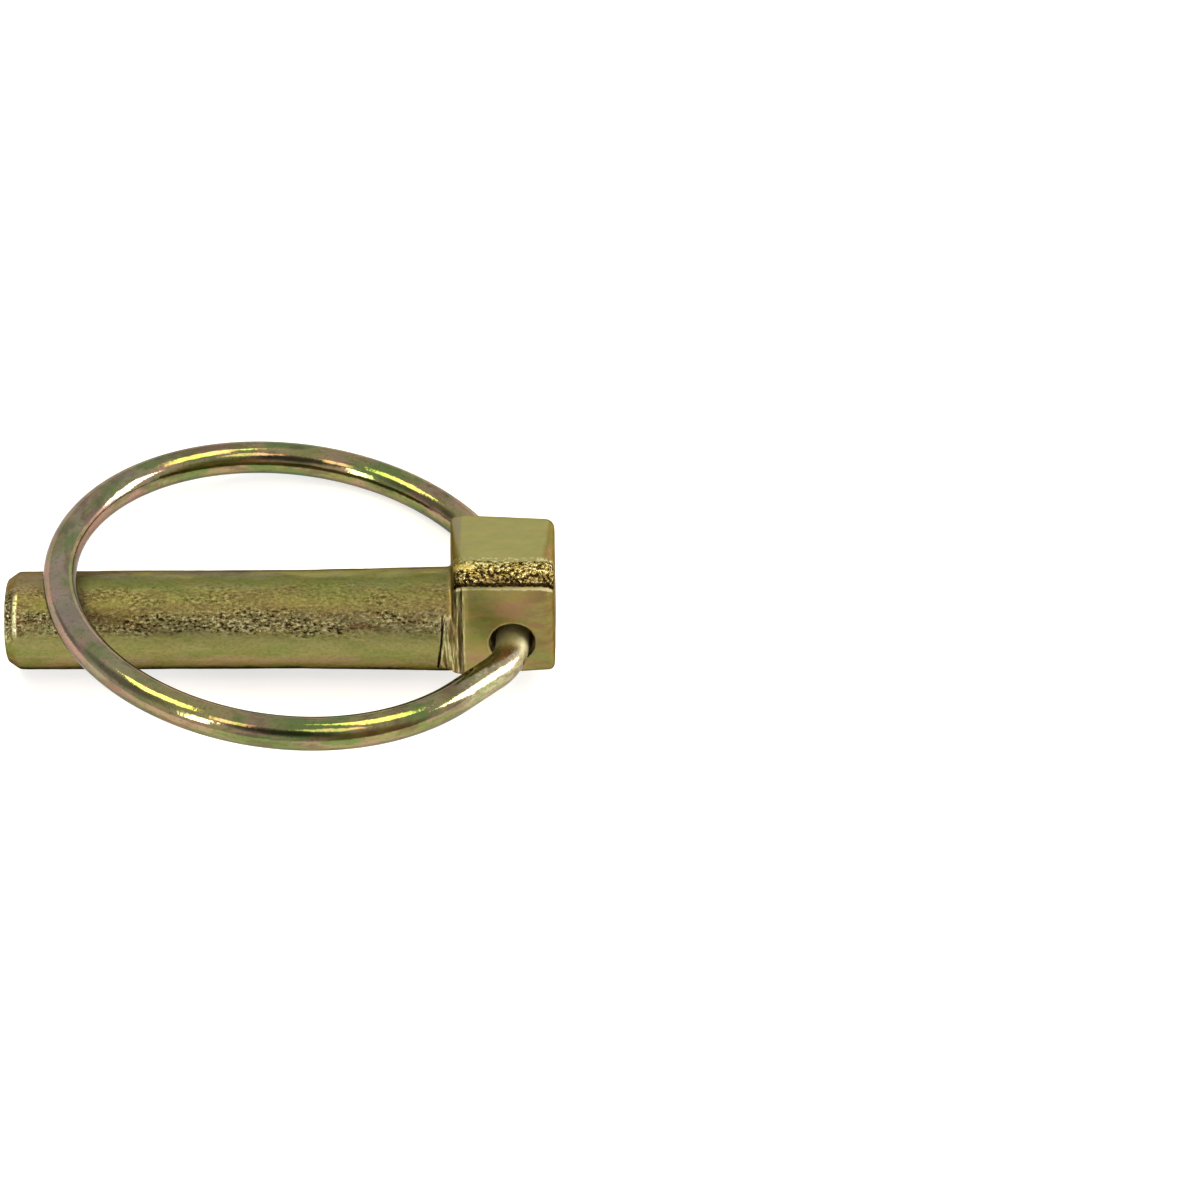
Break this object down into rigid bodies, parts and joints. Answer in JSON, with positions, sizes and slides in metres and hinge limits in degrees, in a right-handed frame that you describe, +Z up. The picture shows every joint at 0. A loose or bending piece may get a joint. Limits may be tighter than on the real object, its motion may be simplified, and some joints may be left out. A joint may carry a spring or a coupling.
{
  "type": "lynch pin",
  "caption": "Forged lynch pin: a round shank with a block-shaped head, and a spring-wire ring that swings in the head's hole and closes over the shank.",
  "frame": {"origin": "middle of the part's plan, on the surface that it lies on", "axes": "+Z up from the surface; -X along the shank to its tip and +X to the head, within half a degree; +Y to the side of the ring that lies on the surface"},
  "size_m": [0.0612, 0.0522, 0.0189],
  "materials": {
    "pin_zinc": "yellow chromate over zinc plate on forged steel, satin, iridescent olive and gold",
    "ring_zinc": "yellow chromate over zinc plate on drawn spring wire, bright, iridescent green and yellow"
  },
  "bodies": {
    "pin": {"pin_body": "pin_zinc"},
    "ring": {"snap_ring": "ring_zinc"}
  },
  "joints": [
    {"name": "ring_swing", "type": "hinge", "parent": "pin", "child": "ring", "pos_m": [0.0259, -0.00107, 0.00647], "axis": [0.0024, 0.9475, -0.3198], "range_deg": [0, 157]}
  ]
}
